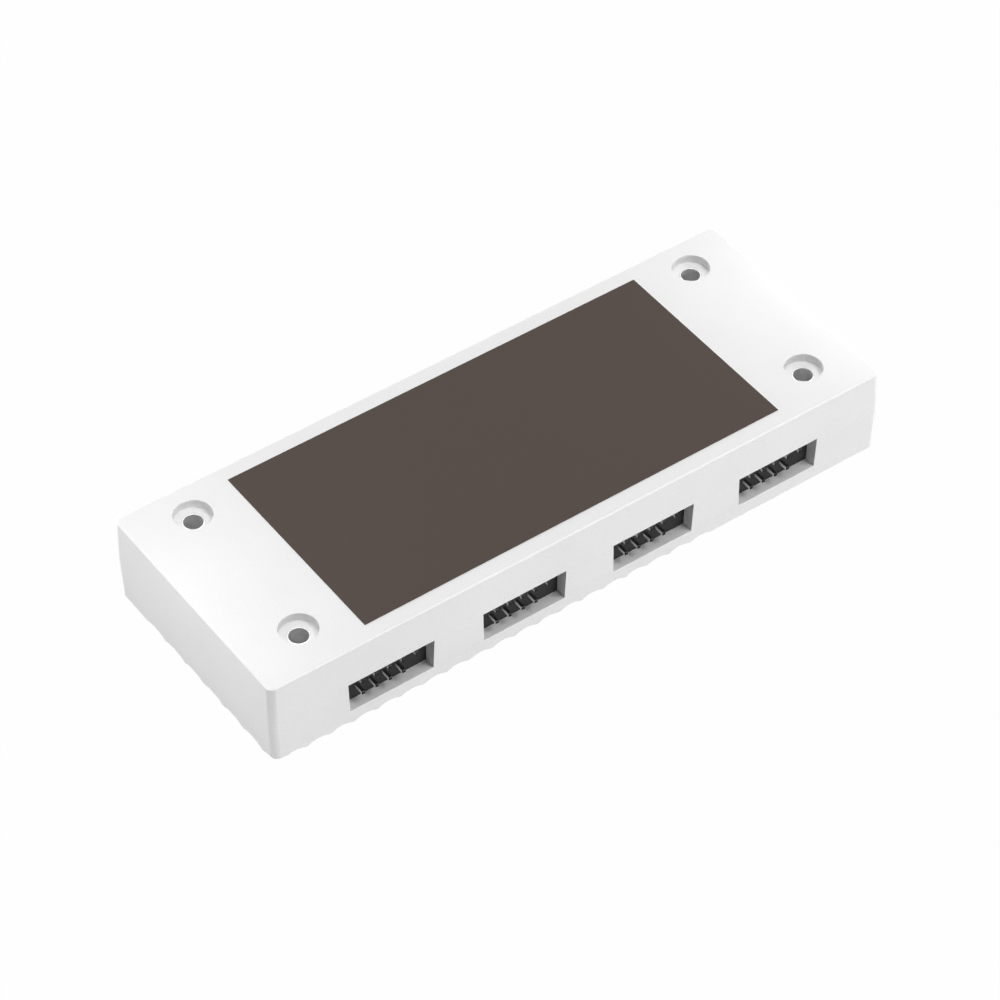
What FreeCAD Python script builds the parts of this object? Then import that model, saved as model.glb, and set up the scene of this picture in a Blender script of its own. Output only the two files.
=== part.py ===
import FreeCAD, Part
import math
import os

# Internal USB hub: a flat white housing of two moulded shells with a blank label on its top face,
# four keyed pin headers in windows along the front, and a power socket and an upstream socket behind.
# Millimetres. X runs along the housing, +Y points to the back, +Z points up through the label.
# The origin is the middle of the bottom face. The board hangs its parts towards the bottom.

V = FreeCAD.Vector
UP = V(0, 0, 1)
BACK = V(0, 1, 0)

# Housing
body_length = 120.3          # at the parting line
body_width = 45.5            # at the parting line
body_height = 16.5
wall = 2.25
deck = 1.8                   # thickness of the top wall
floor = 2.0                  # thickness of the bottom wall
draft_deg = 1.4              # both shells taper away from the parting line
corner_radius = 1.3
inner_corner_radius = 0.6
rim_bevel = 0.22             # round the top and the bottom face
seam_gap = 0.12              # under the tongues that hang between the windows

# Windows and pin headers along the front
port_count = 4
port_pitch = 25.6
layout_shift_x = 0.55        # the ports sit off the housing's middle
window_height = 6.21
window_width_top = 16.24
window_width_bottom = 15.84
sill_height = 0.76           # sill above the inner floor
parting_drop = 0.5           # parting line below the windows' tops
header_gap = 0.08            # between the front wall and the insulator
header_depth = 5.1
header_side_cover = 0.4      # insulator beyond the window's edge
header_top_cover = 0.4
header_floor_gap = 0.3
pin_pitch = 2.54
pin_size = 0.64
pins_per_row = 5
pin_rows_drop = 2.67         # middle of the two rows below the windows' tops
pin_tip_setback = 0.4        # behind the front face
pin_tip_length = 0.12
pin_tip_size = 0.5
pin_bend_chamfer = 0.3
pin_first_bend = 1.3         # first upright behind the insulator
pin_tail = 1.0               # above the board

# Circuit board
board_thickness = 1.6
board_edge_gap = 0.5
pin_hole_size = 0.95         # square, plated

# Screw holes, with steel sleeves
screw_spacing_x = 99.8
screw_spacing_y = 30.4
screw_shift_x = 0.77
screw_shift_y = 1.1
counterbore_radius = 3.3
counterbore_depth = 1.65
counterbore_floor = 1.2
pad_margin = 1.2             # square pad round each counterbore, under the deck
sleeve_outer_radius = 1.85
sleeve_wall = 0.2
sleeve_clearance = 0.03
sleeve_recess = 0.25         # above the bottom face
tube_radius = 2.8

# Shell joints
lip_thickness = 0.9
lip_depth = 1.0
lip_clearance = 0.06
lip_end_gap = 0.6            # between the lip's ends and the openings
hook_width = 6.0
hook_thickness = 1.1
hook_clearance = 0.1
hook_reach = 3.9             # below the parting line
hook_root = 2.6              # above the parting line
barb_height = 1.5
barb_ramp = 1.0              # sloped lower part of the barb
barb_depth = 0.65
barb_clearance = 0.15
back_hook_places = (-42.0, 37.0)
end_hook_place = 0.0
deck_rib_thickness = 1.1
deck_rib_height = 2.0
deck_rib_spacing = 25.6
deck_rib_count = 3
gusset_thickness = 1.1
gusset_rise = 1.2            # lowest edge above the board

# Label
label_length = 81.4
label_width = 39.1
label_thickness = 0.15
label_shift_x = 0.26
label_shift_y = -0.02

# Scallops in the bottom edge
scallop_depth = 0.5
scallop_land = 0.5           # flat left between two scallops
scallop_run = 6.0            # length over which a scallop fades out
front_scallop_pitch = 4.42
front_scallop_count = 19
front_scallop_start = 1.75   # from the left end
end_scallop_pitch = 5.66
end_scallop_count = 7
end_scallop_stop = 7.9       # from the back face

# Power socket: a blade with fifteen contacts in a shroud
power_place = -22.0
power_width = 26.4
power_depth = 10.0
power_floor_gap = 0.65
power_shroud = 1.2
power_cavity_depth = 7.2
power_blade_width = 21.2
power_blade_thickness = 1.25
power_blade_reach = 6.2
power_key_height = 1.1
power_key_width = 1.2
power_contact_count = 15
power_contact_pitch = 1.27
power_contact_width = 0.8
power_contact_thickness = 0.2
power_contact_tip = 0.6      # from the blade's front edge
power_tail = 1.4
socket_setback = 0.3         # socket mouths behind the back face
socket_clearance = 0.25      # round a socket in the wall

# Upstream socket: a folded steel shell round a tongue with five contacts
upstream_place = 18.0
upstream_width = 7.8
upstream_height = 2.9
upstream_depth = 5.6
upstream_chamfer = 0.9
upstream_wall = 0.25
upstream_tongue_width = 4.0
upstream_tongue_thickness = 0.6
upstream_tongue_reach = 3.9
upstream_contact_count = 5
upstream_contact_pitch = 0.65
upstream_contact_width = 0.35
upstream_contact_thickness = 0.12
upstream_contact_tip = 0.4   # from the tongue's front edge
upstream_tail = 0.9

# Parts on the underside of the board
controller_length = 10.2
controller_width = 5.3
controller_height = 1.75
controller_standoff = 0.1
controller_shift_x = 5.2
controller_gap = 1.7         # behind the port parts
lead_count = 28
lead_pitch = 0.65
lead_width = 0.3
lead_thickness = 0.15
lead_reach = 1.2
lead_shoulder = 0.5          # over which a lead slopes to the board
crystal_length = 11.2
crystal_width = 4.7
crystal_height = 3.4
crystal_flange = 0.4
crystal_flange_height = 0.4
crystal_gap = 4.0            # beside the controller
regulator_length = 6.5
regulator_width = 3.5
regulator_height = 1.6
regulator_shift_x = 2.0      # from the power socket's middle
regulator_gap = 3.0          # behind the port parts
regulator_lead_pitch = 2.3
regulator_lead_width = 0.7
regulator_tab_width = 3.0
regulator_lead_reach = 1.7
capacitor_radius = 3.15
capacitor_height = 4.8
capacitor_base_size = 6.6
capacitor_base_height = 0.9
capacitor_base_bevel = 1.2
capacitor_spread = 11.6      # to each side of the power socket's middle
capacitor_gap = 4.0          # behind the port parts
fuse_size = (4.5, 3.2, 0.9)
fuse_shift_x = -3.6
port_row_depth = 13.6        # port parts behind the insulators' front faces
surge_size = (2.9, 1.6, 1.1)
surge_shift_x = 3.4
resistor_size = (1.6, 0.8, 0.45)
resistor_spacing = 1.8
resistor_shift_x = 7.4
ceramic_size = (2.0, 1.25, 0.85)
ceramic_spacing = 3.2
ceramic_count = 5

# Places worked out from the sizes above
window_bottom = floor + sill_height
window_top = window_bottom + window_height
parting = window_top - parting_drop
front_face = -body_width / 2
back_face = body_width / 2
inner_length = body_length - 2 * wall
inner_width = body_width - 2 * wall
inner_front = -inner_width / 2
inner_back = inner_width / 2
inner_top = body_height - deck
header_front = inner_front + header_gap
header_back = header_front + header_depth
header_bottom = floor + header_floor_gap
board_underside = window_top + header_top_cover
board_top = board_underside + board_thickness
pin_row_middle = window_top - pin_rows_drop
socket_mouth = back_face - socket_setback
counterbore_bottom = body_height - counterbore_depth
sleeve_inner_radius = sleeve_outer_radius - sleeve_wall
sleeve_hole_radius = sleeve_outer_radius + sleeve_clearance
port_row = header_front + port_row_depth
behind_port_row = port_row + fuse_size[1] / 2
controller_place = (
    layout_shift_x + controller_shift_x,
    behind_port_row + controller_gap + lead_reach + controller_width / 2,
)
crystal_place = (
    controller_place[0] + (controller_length + crystal_length) / 2 + crystal_gap,
    controller_place[1],
)
regulator_place = (
    power_place + regulator_shift_x,
    behind_port_row + regulator_gap + regulator_lead_reach + regulator_width / 2,
)
capacitor_places = [
    (power_place + side * capacitor_spread, behind_port_row + capacitor_gap + capacitor_base_size / 2)
    for side in (-1, 1)
]
ports = [layout_shift_x + port_pitch * (i - (port_count - 1) / 2) for i in range(port_count)]
screws = [
    (screw_shift_x + sx * screw_spacing_x / 2, screw_shift_y + sy * screw_spacing_y / 2)
    for sx in (-1, 1)
    for sy in (-1, 1)
]
beyond = 5.0                 # how far a cutting tool runs past what it cuts
shortest_edge = 1e-6


def block(x0, x1, y0, y1, z0, z1):
    """Box between two corners."""
    return Part.makeBox(x1 - x0, y1 - y0, z1 - z0, V(x0, y0, z0))


def block_under_board(place, size):
    """Box of length, width and height, soldered to the board's underside at a place."""
    (x, y), (length, width, height) = place, size
    return block(x - length / 2, x + length / 2, y - width / 2, y + width / 2,
                 board_underside - height, board_underside)


def rod(radius, z0, z1, x, y):
    """Upright cylinder between two heights."""
    return Part.makeCylinder(radius, z1 - z0, V(x, y, z0))


def union(shapes):
    """One solid from shapes that meet."""
    return shapes[0].multiFuse(shapes[1:]).removeSplitter()


def extruded(points, direction):
    """Prism from a closed polygon."""
    wire = Part.makePolygon(list(points) + [points[0]])
    return Part.Face(wire).extrude(direction)


def export(name, shape):
    """Writes one node."""
    shape.exportStep("parts/" + name + ".step")


def rounded_outline(length, width, radius, z):
    """Rectangle with round corners, centred on the Z axis."""
    arcs = []
    for sx, sy, start in ((1, 1, 0), (-1, 1, 90), (-1, -1, 180), (1, -1, 270)):
        centre = V(sx * (length / 2 - radius), sy * (width / 2 - radius), z)
        arcs.append(Part.makeCircle(radius, centre, UP, start, start + 90))
    edges = []
    for arc, following in zip(arcs, arcs[1:] + arcs[:1]):
        edges.append(arc)
        end = arc.valueAt(arc.LastParameter)
        start = following.valueAt(following.FirstParameter)
        if (end - start).Length > shortest_edge:
            edges.append(Part.makeLine(end, start))
    return Part.Wire(edges)


def housing_half(z_face):
    """Solid half of the housing, tapering from the parting line to its outer face, with round corners."""
    height = abs(z_face - parting)
    inset = height * math.tan(math.radians(draft_deg))
    x = body_length / 2
    y = body_width / 2
    along_y = extruded([
        V(-x, -y, parting),
        V(x, -y, parting),
        V(x - inset, -y, z_face),
        V(inset - x, -y, z_face),
    ], V(0, body_width, 0))
    along_x = extruded([
        V(-x, -y, parting),
        V(-x, y, parting),
        V(-x, y - inset, z_face),
        V(-x, inset - y, z_face),
    ], V(body_length, 0, 0))
    half = along_y.common(along_x)
    leaning = [e for e in half.Edges if abs(e.Vertexes[0].Z - e.Vertexes[1].Z) > height / 2]
    half = half.makeFillet(corner_radius, leaning)
    rim = [e for e in half.Edges if all(abs(v.Z - z_face) < shortest_edge for v in e.Vertexes)]
    return half.makeChamfer(rim_bevel, rim)


def cavity(z0, z1):
    """Inside of the housing between two heights."""
    outline = rounded_outline(inner_length, inner_width, inner_corner_radius, z0)
    return Part.Face(outline).extrude(V(0, 0, z1 - z0))


def window_half_width(z):
    """Half the width of a window at a height."""
    share = (z - window_bottom) / window_height
    return (window_width_bottom + share * (window_width_top - window_width_bottom)) / 2


def front_prism(left, right, z0, z1):
    """Prism through the front wall whose sides lean as the windows' sides do.

    left and right are each a window's middle and the side of it, -1 or 1."""
    corners = []
    for (middle, side), z in ((left, z0), (right, z0), (right, z1), (left, z1)):
        corners.append(V(middle + side * window_half_width(z), front_face - beyond, z))
    return extruded(corners, V(0, beyond + wall + header_gap, 0))


def windows():
    """The openings in front of the pin headers."""
    return [front_prism((x, -1), (x, 1), window_bottom, window_top) for x in ports]


def tongue_spaces(bottom):
    """The stretches of front wall between the windows, below the parting line."""
    pairs = zip(ports, ports[1:])
    return [front_prism((a, 1), (b, -1), bottom, parting) for a, b in pairs]


def socket_openings():
    """The openings in the back wall for the two sockets."""
    openings = []
    for place, width, bottom in (
        (power_place, power_width, floor + power_floor_gap),
        (upstream_place, upstream_width, board_underside - upstream_height),
    ):
        reach = width / 2 + socket_clearance
        openings.append(block(place - reach, place + reach, inner_back - beyond, back_face + beyond,
                              bottom - socket_clearance, board_underside + socket_clearance))
    return openings


def on_wall(shape, side, along):
    """Moves a shape drawn at the origin, with +Y outwards, to the inner face of a wall."""
    turned = shape.copy()
    if side == "back":
        turned.translate(V(along, inner_back, 0))
    else:
        sign = 1 if side == "right" else -1
        turned.rotate(V(0, 0, 0), UP, -90 * sign)
        turned.translate(V(sign * inner_length / 2, along, 0))
    return turned


def hook_places():
    """Side and place of each snap hook."""
    places = [("back", along) for along in back_hook_places]
    return places + [("left", end_hook_place), ("right", end_hook_place)]


def snap_hook():
    """Hook that hangs from the upper shell, with a barb that springs into the lower shell's wall."""
    bottom = parting - hook_reach
    root_top = parting + hook_root
    outer = -hook_clearance
    inner = outer - hook_thickness
    profile = [
        V(0, inner, root_top),
        V(0, inner, bottom),
        V(0, outer, bottom),
        V(0, barb_depth, bottom + barb_ramp),
        V(0, barb_depth, bottom + barb_height),
        V(0, outer, bottom + barb_height),
        V(0, outer, parting),
        V(0, 0, parting),
        V(0, 0, root_top),
    ]
    hook = extruded(profile, V(hook_width, 0, 0))
    hook.translate(V(-hook_width / 2, 0, 0))
    return hook


def hook_pocket():
    """Pocket in the lower shell's wall for a hook's barb."""
    half = hook_width / 2 + barb_clearance
    bottom = parting - hook_reach
    return block(-half, half, -beyond, barb_depth + barb_clearance,
                 bottom - barb_clearance, bottom + barb_height + barb_clearance)


def hook_notch(z0, z1):
    """Room for a hook in the board or in the lip."""
    half = hook_width / 2 + board_edge_gap
    return block(-half, half, -hook_clearance - hook_thickness - board_edge_gap, beyond, z0, z1)


def alignment_lip():
    """Lip inside the back and end walls that centres the two shells on each other."""
    outer = cavity(parting, parting + header_top_cover)
    below = rounded_outline(inner_length - 2 * lip_clearance, inner_width - 2 * lip_clearance,
                            inner_corner_radius, parting - lip_depth)
    outer = outer.fuse(Part.Face(below).extrude(V(0, 0, lip_depth)))
    inner = block(-inner_length / 2 + lip_thickness, inner_length / 2 - lip_thickness,
                  inner_front - beyond, inner_back - lip_thickness,
                  parting - lip_depth - beyond, parting + beyond)
    lip = outer.cut(inner)
    front = block(-body_length, body_length, inner_front - beyond, header_back + lip_end_gap,
                  parting - beyond, parting + beyond)
    lip = lip.cut(front)
    for opening in socket_openings():
        box = opening.BoundBox
        lip = lip.cut(block(box.XMin - lip_end_gap, box.XMax + lip_end_gap, inner_back - beyond,
                            back_face + beyond, parting - beyond, parting + beyond))
    for side, along in hook_places():
        lip = lip.cut(on_wall(hook_notch(parting - beyond, parting + beyond), side, along))
    return lip


def scallop(chord, run):
    """Round scoop that is deepest at the origin and fades out along +Y."""
    radius = (chord * chord / 4 + scallop_depth ** 2) / (2 * scallop_depth)
    slope = scallop_depth / run
    start = V(0, -beyond, scallop_depth - radius + slope * beyond)
    direction = V(0, run, -scallop_depth)
    return Part.makeCylinder(radius, run + 2 * beyond, start, direction)


def scallops():
    """Scoops in the bottom edge, along part of the front and of the left end."""
    cuts = []
    for i in range(front_scallop_count):
        scoop = scallop(front_scallop_pitch - scallop_land, scallop_run)
        x = -body_length / 2 + front_scallop_start + (i + 0.5) * front_scallop_pitch
        scoop.translate(V(x, front_face, 0))
        cuts.append(scoop)
    for i in range(end_scallop_count):
        scoop = scallop(end_scallop_pitch - scallop_land, scallop_run)
        scoop.rotate(V(0, 0, 0), UP, -90)
        y = back_face - end_scallop_stop - (i + 0.5) * end_scallop_pitch
        scoop.translate(V(-body_length / 2, y, 0))
        cuts.append(scoop)
    return cuts


def gussets():
    """Ribs that tie each screw boss to the nearer side wall and end wall."""
    ribs = []
    half = gusset_thickness / 2
    bottom = board_top + gusset_rise
    for x, y in screws:
        end_x = math.copysign(inner_length / 2, x)
        end_y = math.copysign(inner_width / 2, y)
        ribs.append(block(min(x, end_x), max(x, end_x), y - half, y + half, bottom, inner_top))
        ribs.append(block(x - half, x + half, min(y, end_y), max(y, end_y), bottom, inner_top))
    return ribs


def mounting_shell():
    """Upper shell: deck with counterbored screw holes, tongues between the windows, hooks and lip."""
    shell = housing_half(body_height).cut(cavity(parting - beyond, inner_top))
    lower = housing_half(0)
    front_wall = block(-body_length, body_length, front_face - beyond, inner_front, 0, parting)
    tongues = [lower.common(front_wall).common(t) for t in tongue_spaces(window_bottom + seam_gap)]
    ribs = []
    for i in range(deck_rib_count):
        x = layout_shift_x + (i - (deck_rib_count - 1) / 2) * deck_rib_spacing
        ribs.append(block(x - deck_rib_thickness / 2, x + deck_rib_thickness / 2,
                          inner_front, inner_back, inner_top - deck_rib_height, inner_top))
    bosses = []
    for x, y in screws:
        pad = counterbore_radius + pad_margin
        bosses.append(block(x - pad, x + pad, y - pad, y + pad,
                            counterbore_bottom - counterbore_floor, inner_top))
        bosses.append(rod(tube_radius, board_top, inner_top, x, y))
    hooks = [on_wall(snap_hook(), side, along) for side, along in hook_places()]
    shell = union([shell] + tongues + ribs + bosses + gussets() + hooks + [alignment_lip()])
    holes = []
    for x, y in screws:
        holes.append(rod(counterbore_radius, counterbore_bottom, body_height + beyond, x, y))
        holes.append(rod(sleeve_hole_radius, board_top - beyond, body_height, x, y))
    return shell.cut(windows() + socket_openings() + holes)


def cover_shell():
    """Lower shell: floor, walls up to the parting line, a notch for the windows, and board bosses."""
    shell = housing_half(0).cut(cavity(floor, parting + beyond))
    bosses = [rod(tube_radius, floor, board_underside, x, y) for x, y in screws]
    shell = union([shell] + bosses)
    pockets = [on_wall(hook_pocket(), side, along) for side, along in hook_places()]
    holes = [rod(sleeve_hole_radius, -beyond, body_height, x, y) for x, y in screws]
    cuts = windows() + tongue_spaces(window_bottom) + socket_openings() + pockets + holes
    return shell.cut(cuts).cut(scallops())


def label():
    """Blank sticker on the deck."""
    x0 = label_shift_x - label_length / 2
    y0 = label_shift_y - label_width / 2
    return block(x0, x0 + label_length, y0, y0 + label_width, body_height, body_height + label_thickness)


def screw_sleeves():
    """Steel sleeves that take the screws' clamping load past the plastic."""
    sleeves = []
    for x, y in screws:
        tube = rod(sleeve_outer_radius, sleeve_recess, counterbore_bottom, x, y)
        sleeves.append(tube.cut(rod(sleeve_inner_radius, -beyond, body_height, x, y)))
    return Part.makeCompound(sleeves)


def pin_rows():
    """Height of each pin row, and how far behind the insulator its pins turn up."""
    return (
        (pin_row_middle + pin_pitch / 2, pin_first_bend),
        (pin_row_middle - pin_pitch / 2, pin_first_bend + pin_pitch),
    )


def bent_pin(height, bend):
    """Square pin with a tapered tip that runs back and turns up through the board."""
    half = pin_size / 2
    tip_half = pin_tip_size / 2
    tip = front_face + pin_tip_setback
    shoulder = tip + pin_tip_length
    upright = header_back + bend
    end = board_top + pin_tail
    side = [
        V(0, tip, height - tip_half),
        V(0, tip, height + tip_half),
        V(0, shoulder, height + half),
        V(0, upright - half, height + half),
        V(0, upright - half, end),
        V(0, upright + half, end),
        V(0, upright + half, height - half + pin_bend_chamfer),
        V(0, upright + half - pin_bend_chamfer, height - half),
        V(0, shoulder, height - half),
    ]
    plan = [
        V(-tip_half, tip, 0),
        V(tip_half, tip, 0),
        V(half, shoulder, 0),
        V(half, back_face, 0),
        V(-half, back_face, 0),
        V(-half, shoulder, 0),
    ]
    body = extruded(side, V(pin_size, 0, 0))
    body.translate(V(-half, 0, 0))
    return body.common(extruded(plan, V(0, 0, body_height)))


def pin_places():
    """Offset along X and row of each pin of one header: the last of the lower row is left out as a key."""
    places = []
    for row in (0, 1):
        for column in range(pins_per_row - row):
            places.append(((column - (pins_per_row - 1) / 2) * pin_pitch, row))
    return places


def header_pins(x):
    """The nine pins of one header."""
    patterns = [bent_pin(height, bend) for height, bend in pin_rows()]
    pins = []
    for offset, row in pin_places():
        pin = patterns[row].copy()
        pin.translate(V(x + offset, 0, 0))
        pins.append(pin)
    return Part.makeCompound(pins)


def header_housing(x):
    """Insulator behind one window, with a passage for each pin."""
    half_width = window_width_top / 2 + header_side_cover
    body = block(x - half_width, x + half_width, header_front, header_back, header_bottom, board_underside)
    half = pin_size / 2
    passages = []
    for offset, row in pin_places():
        height = pin_rows()[row][0]
        passages.append(block(x + offset - half, x + offset + half, header_front - beyond,
                              header_back + beyond, height - half, height + half))
    return body.cut(passages)


def circuit_board():
    """Board that rests between the shells' screw bosses."""
    half_length = inner_length / 2 - board_edge_gap
    half_width = inner_width / 2 - board_edge_gap
    board = block(-half_length, half_length, -half_width, half_width, board_underside, board_top)
    hole = pin_hole_size / 2
    cuts = [rod(sleeve_hole_radius, board_underside - beyond, board_top + beyond, x, y) for x, y in screws]
    for side, along in hook_places():
        cuts.append(on_wall(hook_notch(board_underside - beyond, board_top + beyond), side, along))
    for x in ports:
        for offset, row in pin_places():
            y = header_back + pin_rows()[row][1]
            cuts.append(block(x + offset - hole, x + offset + hole, y - hole, y + hole,
                              board_underside - beyond, board_top + beyond))
    return board.cut(cuts)


def power_contact():
    """Flat contact that lies on the blade, runs out behind the shroud and turns up to the board."""
    blade = power_blade_top()
    low = blade
    high = blade + power_contact_thickness
    front = socket_mouth - power_cavity_depth + power_blade_reach - power_contact_tip
    rear = socket_mouth - power_depth - power_tail
    side = [
        V(0, front, low),
        V(0, front, high),
        V(0, rear + power_contact_thickness, high),
        V(0, rear + power_contact_thickness, board_underside),
        V(0, rear, board_underside),
        V(0, rear, low),
    ]
    contact = extruded(side, V(power_contact_width, 0, 0))
    contact.translate(V(-power_contact_width / 2, 0, 0))
    return contact


def power_blade_top():
    """Height of the blade's contact side."""
    middle = (board_underside + floor + power_floor_gap) / 2
    return middle + power_blade_thickness / 2


def power_contacts():
    """The fifteen contacts of the power socket."""
    contacts = []
    for i in range(power_contact_count):
        contact = power_contact()
        contact.translate(V(power_place + (i - (power_contact_count - 1) / 2) * power_contact_pitch, 0, 0))
        contacts.append(contact)
    return Part.makeCompound(contacts)


def power_socket():
    """Shroud of the power socket with its keyed blade."""
    bottom = floor + power_floor_gap
    half = power_width / 2
    rear = socket_mouth - power_depth
    body = block(power_place - half, power_place + half, rear, socket_mouth, bottom, board_underside)
    mouth = block(power_place - half + power_shroud, power_place + half - power_shroud,
                  socket_mouth - power_cavity_depth, socket_mouth + beyond,
                  bottom + power_shroud, board_underside - power_shroud)
    top = power_blade_top()
    root = socket_mouth - power_cavity_depth
    left = power_place - power_blade_width / 2
    blade = block(left, left + power_blade_width, root, root + power_blade_reach,
                  top - power_blade_thickness, top)
    key = block(left, left + power_key_width, root, root + power_blade_reach, top, top + power_key_height)
    return union([body.cut(mouth), blade, key]).cut(power_contacts().Solids)


def upstream_outline(inset, y):
    """Corner points of the upstream shell's section, a rectangle with two bevelled lower corners."""
    half = upstream_width / 2 - inset
    top = board_underside - inset
    bottom = board_underside - upstream_height + inset
    return [
        V(upstream_place - half, y, top),
        V(upstream_place + half, y, top),
        V(upstream_place + half, y, bottom + upstream_chamfer),
        V(upstream_place + half - upstream_chamfer, y, bottom),
        V(upstream_place - half + upstream_chamfer, y, bottom),
        V(upstream_place - half, y, bottom + upstream_chamfer),
    ]


def upstream_shell():
    """Folded steel shell of the upstream socket."""
    rear = socket_mouth - upstream_depth
    outer = extruded(upstream_outline(0, rear), V(0, upstream_depth, 0))
    inner = extruded(upstream_outline(upstream_wall, rear), V(0, upstream_depth, 0))
    return outer.cut(inner)


def upstream_tongue_bottom():
    """Height of the tongue's contact side."""
    return board_underside - upstream_height / 2 - upstream_tongue_thickness / 2


def upstream_contacts():
    """The five contacts under the upstream socket's tongue."""
    low = upstream_tongue_bottom() - upstream_contact_thickness
    front = upstream_tongue_root() + upstream_tongue_reach - upstream_contact_tip
    rear = socket_mouth - upstream_depth - upstream_tail
    contacts = []
    for i in range(upstream_contact_count):
        x = upstream_place + (i - (upstream_contact_count - 1) / 2) * upstream_contact_pitch
        side = [
            V(x, front, low),
            V(x, front, low + upstream_contact_thickness),
            V(x, rear + upstream_contact_thickness, low + upstream_contact_thickness),
            V(x, rear + upstream_contact_thickness, board_underside),
            V(x, rear, board_underside),
            V(x, rear, low),
        ]
        contact = extruded(side, V(upstream_contact_width, 0, 0))
        contact.translate(V(-upstream_contact_width / 2, 0, 0))
        contacts.append(contact)
    return Part.makeCompound(contacts)


def upstream_tongue_root():
    """Front of the block that fills the rear of the upstream shell."""
    return socket_mouth - upstream_depth + upstream_tail


def upstream_tongue():
    """Insulator of the upstream socket: a block in the rear of the shell and a tongue."""
    rear = socket_mouth - upstream_depth
    root = upstream_tongue_root()
    filling = extruded(upstream_outline(upstream_wall, rear), V(0, root - rear, 0))
    bottom = upstream_tongue_bottom()
    half = upstream_tongue_width / 2
    tongue = block(upstream_place - half, upstream_place + half, rear, root + upstream_tongue_reach,
                   bottom, bottom + upstream_tongue_thickness)
    return union([filling, tongue]).cut(upstream_contacts().Solids)


def hub_controller():
    """Package of the hub's controller."""
    x, y = controller_place
    top = board_underside - controller_standoff
    return block(x - controller_length / 2, x + controller_length / 2, y - controller_width / 2,
                 y + controller_width / 2, top - controller_height, top)


def controller_leads():
    """Leads along the controller's two long sides, sloping from mid height to a foot on the board."""
    x, y = controller_place
    middle = board_underside - controller_standoff - controller_height / 2
    per_side = lead_count // 2
    leads = []
    for side in (-1, 1):
        root = y + side * controller_width / 2
        knee = root + side * lead_shoulder
        toe = root + side * lead_reach
        section = [
            V(0, root, middle),
            V(0, root, middle + lead_thickness),
            V(0, knee, board_underside),
            V(0, toe, board_underside),
            V(0, toe, board_underside - lead_thickness),
            V(0, knee + side * lead_thickness, board_underside - lead_thickness),
        ]
        for i in range(per_side):
            lead = extruded(section, V(lead_width, 0, 0))
            lead.translate(V(x + (i - (per_side - 1) / 2) * lead_pitch - lead_width / 2, 0, 0))
            leads.append(lead)
    return Part.makeCompound(leads)


def stadium(length, width, z0, z1, place):
    """Upright prism with two straight sides and two round ends."""
    outline = rounded_outline(length, width, width / 2, z0)
    solid = Part.Face(outline).extrude(V(0, 0, z1 - z0))
    solid.translate(V(place[0], place[1], 0))
    return solid


def crystal():
    """Crystal can with its welded flange against the board."""
    can = stadium(crystal_length - 2 * crystal_flange, crystal_width - 2 * crystal_flange,
                  board_underside - crystal_height, board_underside, crystal_place)
    flange = stadium(crystal_length, crystal_width, board_underside - crystal_flange_height,
                     board_underside, crystal_place)
    return union([can, flange])


def regulator():
    """Package of the voltage regulator."""
    return block_under_board(regulator_place, (regulator_length, regulator_width, regulator_height))


def regulator_leads():
    """Three leads and the heat tab of the regulator."""
    x, y = regulator_place
    half = regulator_width / 2
    thickness = lead_thickness * 2
    low = board_underside - thickness
    leads = []
    for i in (-1, 0, 1):
        middle = x + i * regulator_lead_pitch
        leads.append(block(middle - regulator_lead_width / 2, middle + regulator_lead_width / 2,
                           y - half - regulator_lead_reach, y - half, low, board_underside))
    leads.append(block(x - regulator_tab_width / 2, x + regulator_tab_width / 2,
                       y + half, y + half + regulator_lead_reach, low, board_underside))
    return Part.makeCompound(leads)


def capacitor_can(place):
    """Aluminium can standing on its base."""
    seat = board_underside - capacitor_base_height
    return rod(capacitor_radius, seat - capacitor_height, seat, place[0], place[1])


def capacitor_cans():
    """The two storage capacitors."""
    return Part.makeCompound([capacitor_can(place) for place in capacitor_places])


def capacitor_bases():
    """Square plastic seats between the cans and the board, with two bevelled corners."""
    bases = []
    for x, y in capacitor_places:
        half = capacitor_base_size / 2
        bevel = capacitor_base_bevel
        z = board_underside - capacitor_base_height
        outline = [
            V(x - half, y - half, z),
            V(x + half, y - half, z),
            V(x + half, y + half - bevel, z),
            V(x + half - bevel, y + half, z),
            V(x - half + bevel, y + half, z),
            V(x - half, y + half - bevel, z),
        ]
        bases.append(extruded(outline, V(0, 0, capacitor_base_height)))
    return Part.makeCompound(bases)


def port_parts(shift_x, size):
    """One small part behind each header, hanging from the board."""
    return [block_under_board((x + shift_x, port_row), size) for x in ports]


def resistors():
    """Two data line resistors for each header."""
    parts = []
    for x in ports:
        for side in (-1, 1):
            place = (x + resistor_shift_x, port_row + side * resistor_spacing / 2)
            parts.append(block_under_board(place, resistor_size))
    return Part.makeCompound(parts)


def ceramic_capacitors():
    """Decoupling capacitors in a row behind the controller."""
    x, y = controller_place
    row_y = y + controller_width / 2 + lead_reach + ceramic_size[1]
    parts = []
    for i in range(ceramic_count):
        place = (x + (i - (ceramic_count - 1) / 2) * ceramic_spacing, row_y)
        parts.append(block_under_board(place, ceramic_size))
    return Part.makeCompound(parts)


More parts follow.
